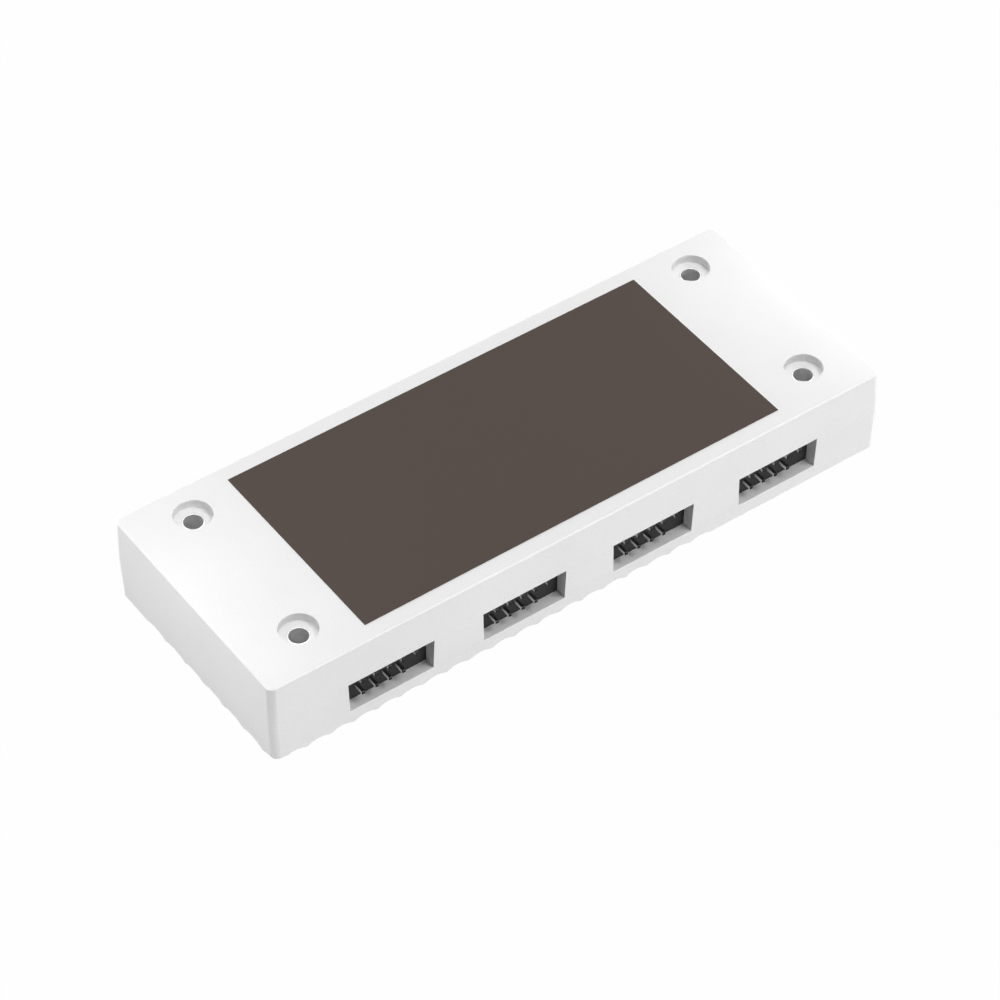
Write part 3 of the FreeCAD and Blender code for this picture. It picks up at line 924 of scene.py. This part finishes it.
@dataclass
class Housing:
    """The two white shells, the blank label and the screw sleeves."""

    edge: float = 0.04 * MM
    rim_edge: float = 0.07 * MM
    label_edge: float = 0.04 * MM
    seam_reach: float = 0.2 * MM
    tongue_drop: float = 0.09 * MM
    foot_bevel: float = 0.22 * MM
    corner: float = 1.3 * MM
    slack: float = 0.005 * MM

    def build(self) -> None:
        """Makes every piece."""
        upper = Piece.of_node("mounting_shell", "mounting_shell_moulding")
        tongue_foot = self.lower_tongues(upper)
        self.break_edges(upper, tongue_foot)
        upper.dress(WHITE_SHELL, Slot.SHELL, "mounting_shell")
        lower = Piece.of_node("cover_shell", "cover_shell_moulding")
        self.sharpen_foot(lower)
        self.break_edges(lower, tongue_foot)
        lower.dress(WHITE_SHELL, Slot.SHELL, "cover_shell")
        self.label()
        self.sleeves()

    def lower_tongues(self, shell: Piece) -> float:
        """Brings the tongues between the windows down, because their seam hardly shows.

        Args:
            shell: the upper shell.

        Returns:
            The height of their lower ends.
        """
        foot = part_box("mounting_shell")[0].z
        shell.on_faces(lambda middle, normal: normal.z < -FACING and middle.z < foot + self.slack,
                       bpy.ops.transform.translate, value=(0, 0, -self.tongue_drop))
        return foot - self.tongue_drop

    def sharpen_foot(self, shell: Piece) -> None:
        """Brings the bevelled foot out to the wall, so that the scallops end in cusps.

        Args:
            shell: the lower shell.
        """
        mesh = shell.open("VERT")
        foot = [vert for vert in mesh.verts if vert.co.z < self.foot_bevel + self.slack]
        core = Vector(max(abs(vert.co[i]) for vert in foot) - self.corner for i in (0, 1))
        for vert in foot:
            inner = Vector(max(-core[i], min(core[i], vert.co[i])) for i in (0, 1))
            arm = vert.co.xy - inner
            missing = self.corner - arm.length
            if abs(missing + vert.co.z - self.foot_bevel) < 4 * self.slack:
                vert.co.xy = inner + arm.normalized() * self.corner
        bmesh.update_edit_mesh(shell.shape.data)
        bpy.ops.object.mode_set(mode="OBJECT")

    def break_edges(self, shell: Piece, tongue_foot: float) -> None:
        """Breaks the square edges of a shell, apart from those along the seams.

        Args:
            shell: the shell.
            tongue_foot: the height of the seams under the tongues.
        """
        seam = self.parting()
        shell.round_edges(self.edge, 2, SQUARE, lambda middle: abs(middle.z - seam) > self.seam_reach
                          and abs(middle.z - tongue_foot) > self.slack)

    def parting(self) -> float:
        """The line where the shells meet.

        Returns:
            Its height, which is that of the widest section.
        """
        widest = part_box("mounting_shell")[1].x - HAIR
        points = bpy.data.objects["mounting_shell"].data.vertices
        return min(point.co.z for point in points if point.co.x > widest)

    def label(self) -> None:
        """The blank film, its outline softened."""
        piece = Piece.block("blank_label", *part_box("label"))
        piece.round_edges(self.label_edge, 2)
        piece.dress(LABEL_FILM, Slot.LABEL, "label")

    def sleeves(self) -> None:
        """The four steel sleeves with broken edges."""
        piece = Piece.of_node("screw_sleeves", "rolled_sleeves")
        piece.round_edges(self.rim_edge, 2, SQUARE)
        piece.dress(SLEEVE_STEEL, Slot.SLEEVE, "screw_sleeves")


@dataclass
class Headers:
    """The four keyed pin headers."""

    block_edge: float = 0.12 * MM
    pin_edge: float = 0.03 * MM

    def build(self) -> None:
        """Makes every insulator and its pins."""
        for number in range(1, HEADERS + 1):
            node = f"header_housing_{number}"
            block = Piece.of_node(node, f"insulator_{number}")
            block.round_edges(self.block_edge, 2, SQUARE)
            block.dress(BLACK_INSULATOR, Slot.INSULATOR, node)
            node = f"header_pins_{number}"
            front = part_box(node)[0].y + HAIR
            pins = Piece.of_node(node, f"pins_{number}")
            pins.round_edges(self.pin_edge, 1, SQUARE, lambda middle, front=front: middle.y > front)
            pins.dress(PIN_STRIP_PAINTED_LIGHT, Slot.PINS, node)


@dataclass
class RearSockets:
    """The power socket and the upstream socket in the back wall."""

    mould_edge: float = 0.15 * MM
    contact_edge: float = 0.03 * MM
    fold: float = 0.22 * MM
    sharp: float = 40.0  # degrees

    def build(self) -> None:
        """Makes both sockets."""
        for node, name, edge, finish, slot in (
            ("power_socket", "power_shroud", self.mould_edge, SOCKET_PLASTIC, Slot.SOCKET),
            ("power_contacts", "power_blades", self.contact_edge, GILT, Slot.GILT),
            ("upstream_shell", "upstream_can", self.fold, BRIGHT_STEEL, Slot.STEEL),
            ("upstream_tongue", "upstream_insert", self.contact_edge, SOCKET_PLASTIC, Slot.SOCKET),
            ("upstream_contacts", "upstream_blades", self.contact_edge, GILT, Slot.GILT),
        ):
            piece = Piece.of_node(node, name)
            piece.round_edges(edge, 2, self.sharp)
            piece.dress(finish, slot, node)


@dataclass
class Board:
    """The circuit board and the solder joints round the header pins."""

    joint_sides: int = 14
    joint_radius: float = 0.9 * MM
    joint_rings: tuple[tuple[float, float], ...] = ((0.62 * MM, 0.1 * MM), (0.46 * MM, 0.3 * MM),
                                                    (0.39 * MM, 0.6 * MM))

    def build(self) -> None:
        """Dresses the board and makes the solder joints."""
        board = Piece.of_node("circuit_board", "hub_board")
        board.dress(BOARD, Slot.BOARD, "circuit_board")
        self.joints()

    def joints(self) -> None:
        """A solder cone round each pin on the board's top side."""
        nodes = [f"header_pins_{number}" for number in range(1, HEADERS + 1)]
        first, *others = [place for node in nodes for place in self.uprights(node)]
        cone = self.joint(first)
        copies = [cone.twin(place - first) for place in others]
        Piece(cone.join(copies).shape, "solder_joints").dress(SOLDER, Slot.PINS)

    def uprights(self, node: str) -> list[Vector]:
        """Where a header's pins come out of the board's top side.

        Args:
            node: the header's pins.

        Returns:
            Each pin's place.
        """
        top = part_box("circuit_board")[1].z
        places = []
        for low, high in solids_of(node):
            width = high.x - low.x
            places.append(Vector(((low.x + high.x) / 2, high.y - width / 2, top)))
        return places

    def joint(self, foot: Vector) -> Piece:
        """One hollow-sided cone of solder, drawn up to each ring's radius and height.

        Args:
            foot: the middle of its foot.

        Returns:
            The cone.
        """
        Piece.clear()
        bpy.ops.mesh.primitive_circle_add(vertices=self.joint_sides, radius=self.joint_radius,
                                          fill_type="NGON", location=foot)
        bpy.ops.object.transform_apply(location=True, rotation=True, scale=True)
        piece = Piece(bpy.context.object, "joint")
        radius = self.joint_radius
        height = 0.0
        for ring, rise in self.joint_rings:
            top = foot.z + height - HAIR
            piece.on_faces(lambda middle, normal, top=top: abs(normal.z) > FACING and middle.z > top,
                           self.draw_up, step=Vector((0, 0, rise - height)), share=ring / radius)
            radius, height = ring, rise
        return piece.edit("normals_make_consistent", inside=False)

    def draw_up(self, step: Vector, share: float) -> None:
        """Extrudes the selected face by a step and narrows it to a share."""
        bpy.ops.mesh.extrude_region_move(TRANSFORM_OT_translate={"value": step})
        bpy.ops.transform.resize(value=(share, share, 1.0))


@dataclass
class Chips:
    """Every part on the board's underside."""

    taper: float = 0.93
    edge: float = 0.07 * MM
    crystal_edge: float = 0.35 * MM
    seat_edge: float = 0.12 * MM
    sharp: float = 50.0  # degrees
    package_sharp: float = 30.0
    dimple: float = 0.45 * MM
    dimple_place: tuple[float, float] = (3.0, 2.5)  # in its radii, from the package's corner
    dimple_depth: float = 0.12 * MM
    cap_share: float = 0.22
    can_sides: int = 48
    can_top: float = 0.4 * MM
    crimp: float = 0.88
    crimp_place: tuple[float, float, float] = (0.7, 0.8, 0.9)  # of the can's height
    lead_thickness: float = 0.15 * MM
    lead_steps: tuple[float, float, float] = (0.2, 0.25, 0.55)  # of its reach: out, slope and foot

    def build(self) -> None:
        """Makes every part."""
        self.package("hub_controller", "controller_package")
        self.package("regulator", "regulator_package")
        self.plain("regulator_leads", "regulator_tabs", TINNED, Slot.PINS)
        self.gull_wings()
        self.plain("crystal", "crystal_can", BRIGHT_STEEL, Slot.STEEL, self.crystal_edge)
        self.cans()
        self.plain("capacitor_bases", "capacitor_seats", SOCKET_PLASTIC, Slot.SOCKET, self.seat_edge)
        self.plain("surge_arrays", "surge_packages", CHIP_EPOXY, Slot.EPOXY)
        self.capped("resettable_fuses", "fuse_bodies", FUSE_RESIN, Slot.FUSE)
        self.capped("resistors", "resistor_bodies", RESISTOR_GLAZE, Slot.RESISTOR)
        self.capped("ceramic_capacitors", "ceramic_bodies", CAPACITOR_CERAMIC, Slot.CERAMIC)

    def plain(self, node: str, name: str, finish: Finish, slot: Slot, edge: float = 0.06 * MM) -> None:
        """A copy of a node with its edges rounded.

        Args:
            node: the node.
            name: the copy's name.
            finish: its finish.
            slot: its slot.
            edge: the rounding's width.
        """
        piece = Piece.of_node(node, name)
        piece.round_edges(edge, 2, self.sharp)
        piece.dress(finish, slot, node)

    def package(self, node: str, name: str) -> None:
        """A moulded package that tapers from its middle, with a dimple beside its first lead.

        Args:
            node: the node that it replaces.
            name: its name.
        """
        low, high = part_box(node)
        middle = (low + high) / 2
        piece = Piece.block(name, low, high)
        piece.cut(middle, Vector((0, 0, 1)))
        for end in (low.z, high.z):
            piece.on_faces(lambda centre, normal, end=end: abs(centre.z - end) < HAIR,
                           bpy.ops.transform.resize, value=(self.taper, self.taper, 1.0))
        piece.round_edges(self.edge, 2, self.package_sharp)
        corner = low + Vector((*self.dimple_place, 0.0)) * self.dimple
        piece.drill(corner, self.dimple, self.dimple_depth)
        piece.dress(CHIP_EPOXY, Slot.EPOXY, node)

    def gull_wings(self) -> None:
        """The controller's leads, bent once for each side and copied."""
        low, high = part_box("hub_controller")
        middle = (low.y + high.y) / 2
        boxes = solids_of("controller_leads")
        rows = [repeated("controller_gull_wings", [box for box in boxes if (box[0].y - middle) * side > 0],
                         partial(self.gull_wing, side)) for side in (-1, 1)]
        rows[0].join(rows[1:]).dress(TINNED, Slot.PINS, "controller_leads")

    def gull_wing(self, side: int, low: Vector, high: Vector) -> Piece:
        """One lead: out of the package, down its slope and along its foot.

        Args:
            side: 1 where it points to the back, -1 where it points to the front.
            low: the lowest corner of its box.
            high: the highest corner of its box.

        Returns:
            The lead.
        """
        root = low.y if side > 0 else high.y
        out, slope, along = (side * share * (high.y - low.y) for share in self.lead_steps)
        tip = root + out
        piece = Piece.block("lead", Vector((low.x, min(root, tip), low.z)),
                            Vector((high.x, max(root, tip), low.z + self.lead_thickness)))
        drop = high.z - self.lead_thickness - low.z
        for step in (Vector((0, slope, drop)), Vector((0, along, 0))):
            piece.on_faces(lambda middle, normal, tip=tip: abs(middle.y - tip) < 2 * HAIR,
                           bpy.ops.mesh.extrude_region_move, TRANSFORM_OT_translate={"value": step})
            tip += step.y
        return piece.edit("normals_make_consistent", inside=False)

    def cans(self) -> None:
        """The two drawn cans."""
        piece = repeated("capacitor_drawn_cans", solids_of("capacitor_cans"), self.can)
        piece.dress(CAN_ALUMINIUM, Slot.CAN, "capacitor_cans")

    def can(self, low: Vector, high: Vector) -> Piece:
        """One can, with a crimp above its seat and a rounded top, which hangs under the board.

        Args:
            low: the lowest corner of its box.
            high: the highest corner of its box.

        Returns:
            The can.
        """
        height = high.z - low.z
        foot = Vector((low.x + high.x, low.y + high.y, 2 * low.z)) / 2
        piece = Piece.rod("can", foot, (high.x - low.x) / 2, height, self.can_sides)
        levels = [low.z + share * height for share in self.crimp_place]
        for level in levels:
            piece.cut(Vector((foot.x, foot.y, level)), Vector((0, 0, 1)))
        piece.on_edges(lambda edge: all(abs(vert.co.z - levels[1]) < HAIR for vert in edge.verts),
                       bpy.ops.transform.resize, value=(self.crimp, self.crimp, 1.0))
        return piece.round_edges(self.can_top, 3, SQUARE, lambda middle: abs(middle.z - low.z) < HAIR)

    def capped(self, node: str, name: str, finish: Finish, slot: Slot) -> None:
        """Chips with a soldered cap at each end.

        Args:
            node: the node that they replace.
            name: their name.
            finish: the finish between the caps.
            slot: their slot.
        """
        boxes = solids_of(node)
        piece = repeated(name, boxes, self.chip).dress(finish, slot, node)
        piece.coat(SOLDER, partial(self.on_cap, boxes))

    def chip(self, low: Vector, high: Vector) -> Piece:
        """One chip, cut where its caps begin.

        Args:
            low: the lowest corner of its box.
            high: the highest corner of its box.

        Returns:
            The chip.
        """
        cap = self.cap_share * (high.x - low.x)
        piece = Piece.block("chip", low, high)
        for x in (low.x + cap, high.x - cap):
            piece.cut(Vector((x, low.y, low.z)), Vector((1, 0, 0)))
        return piece.round_edges(self.edge, 2, SQUARE)

    def on_cap(self, boxes: list[Box], middle: Vector) -> bool:
        """Whether a place on one of the chips is on its caps.

        Args:
            boxes: the boxes of the chips.
            middle: the place.

        Returns:
            Yes or no.
        """
        for low, high in boxes:
            if all(low[i] - HAIR < middle[i] < high[i] + HAIR for i in range(3)):
                cap = self.cap_share * (high.x - low.x)
                return not low.x + cap < middle.x < high.x - cap
        return False


@dataclass(frozen=True)
class Lamp:
    """A soft rectangular lamp that points at a target."""

    name: str
    place: tuple[float, float, float]
    width: float
    height: float
    watts: float
    target: tuple[float, float, float] = (0.0, 0.0, 0.008)

    def hang(self) -> None:
        """Puts the lamp in the room."""
        Piece.clear()
        bpy.ops.object.light_add(type="AREA", location=self.place)
        lamp = bpy.context.object
        lamp.name = self.name
        lamp.data.shape = "RECTANGLE"
        lamp.data.size = self.width
        lamp.data.size_y = self.height
        lamp.data.energy = self.watts
        aim = Vector(self.target) - Vector(self.place)
        lamp.rotation_mode = "QUATERNION"
        lamp.rotation_quaternion = aim.to_track_quat("-Z", "Y")
        lamp.visible_camera = False


@dataclass
class Studio:
    """White floor and room, soft lamps and the photograph's camera."""

    floor_size: float = 3.0
    floor_drop: float = 0.02 * MM
    room_light: float = 0.05
    floor_colour: Colour = (0.4, 0.4, 0.4)
    floor_roughness: float = 0.9
    floor_whitening: float = 0.985
    lens: float = 136.69
    eye: tuple[float, float, float] = (-253.31 * MM, -357.07 * MM, 446.41 * MM)
    azimuth: float = -35.27
    elevation: float = 45.31
    roll: float = -0.482
    half_pixel: float = 0.0005
    clip: tuple[float, float] = (0.01, 20.0)
    lamps: tuple[Lamp, ...] = (
        Lamp("top_softbox", (0.0, 0.1, 0.9), 0.6, 0.6, 3.05),
        Lamp("front_softbox", (0.3, -0.4, 0.85), 0.4, 0.4, 3.55),
        Lamp("back_softbox", (0.1, 0.8, 0.6), 0.6, 0.5, 2.8),
        Lamp("front_strip", (0.22, -0.95, 0.06), 0.5, 0.08, 5.0),
        Lamp("left_strip", (-0.95, 0.35, 0.05), 0.8, 0.07, 4.7),
        Lamp("right_strip", (0.95, 0.35, 0.05), 0.8, 0.07, 2.6),
        Lamp("back_strip", (-0.2, 0.95, 0.05), 0.8, 0.07, 2.2),
        Lamp("left_card", (-0.073, 0.0, 0.039), 0.05, 0.008, 0.0028, (-0.045, 0.0, 0.0165)),
        Lamp("right_card", (0.077, 0.0, 0.032), 0.05, 0.008, 0.0027, (0.056, 0.0, 0.0165)),
    )

    def build(self) -> None:
        """Sets up the room."""
        self.floor()
        self.room()
        for lamp in self.lamps:
            lamp.hang()
        self.camera()
        bpy.context.scene.view_settings.view_transform = "Standard"

    def floor(self) -> None:
        """A white sheet that keeps the object's shadow faintly."""
        Piece.clear()
        bpy.ops.mesh.primitive_plane_add(size=self.floor_size, location=(0, 0, -self.floor_drop))
        sheet = bpy.context.object
        sheet.name = "floor"
        made = Shader("white_floor")
        made.set(Base_Color=(*self.floor_colour, 1.0), Roughness=self.floor_roughness, Specular_IOR_Level=0.0)
        glow = made.node("ShaderNodeEmission", inputs={"Color": (1, 1, 1, 1), "Strength": 1.0})
        share = made.indirect() * self.floor_whitening
        both = made.node("ShaderNodeMixShader",
                         inputs={0: share, 1: made.surface.outputs[0], 2: glow.outputs[0]})
        made.feed(made.output.inputs["Surface"], both.outputs[0])
        sheet.data.materials.append(made.material)

    def room(self) -> None:
        """White walls to look at, and an even light from all round."""
        world = bpy.data.worlds.new("white_room")
        bpy.context.scene.world = world
        world.use_nodes = True
        made = Nodes(world.node_tree)
        strength = made.indirect() * (1.0 - self.room_light) + self.room_light
        back = made.node("ShaderNodeBackground", inputs={"Color": (1, 1, 1, 1), "Strength": strength})
        made.node("ShaderNodeOutputWorld", inputs={"Surface": back.outputs[0]})

    def camera(self) -> None:
        """The camera that the photograph was matched to."""
        Piece.clear()
        bpy.ops.object.camera_add(location=self.eye)
        camera = bpy.context.object
        camera.name = "camera"
        camera.data.lens = self.lens
        camera.data.shift_x = -self.half_pixel
        camera.data.shift_y = self.half_pixel
        turn = Matrix.Rotation(math.radians(self.azimuth), 3, "Z")
        tilt = Matrix.Rotation(math.radians(90 - self.elevation), 3, "X")
        roll = Matrix.Rotation(math.radians(self.roll), 3, "Z")
        camera.rotation_mode = "QUATERNION"
        camera.rotation_quaternion = (turn @ tilt @ roll).to_quaternion()
        camera.data.clip_start, camera.data.clip_end = self.clip
        bpy.context.scene.camera = camera


def main() -> None:
    """Builds the dressed hub and its room."""
    logging.basicConfig(level=logging.INFO, format="%(name)s %(message)s")
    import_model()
    for assembly in (Housing(), Headers(), RearSockets(), Board(), Chips()):
        assembly.build()
        log.info("%s done", type(assembly).__name__)
    Studio().build()


if __name__ == "__main__":
    main()
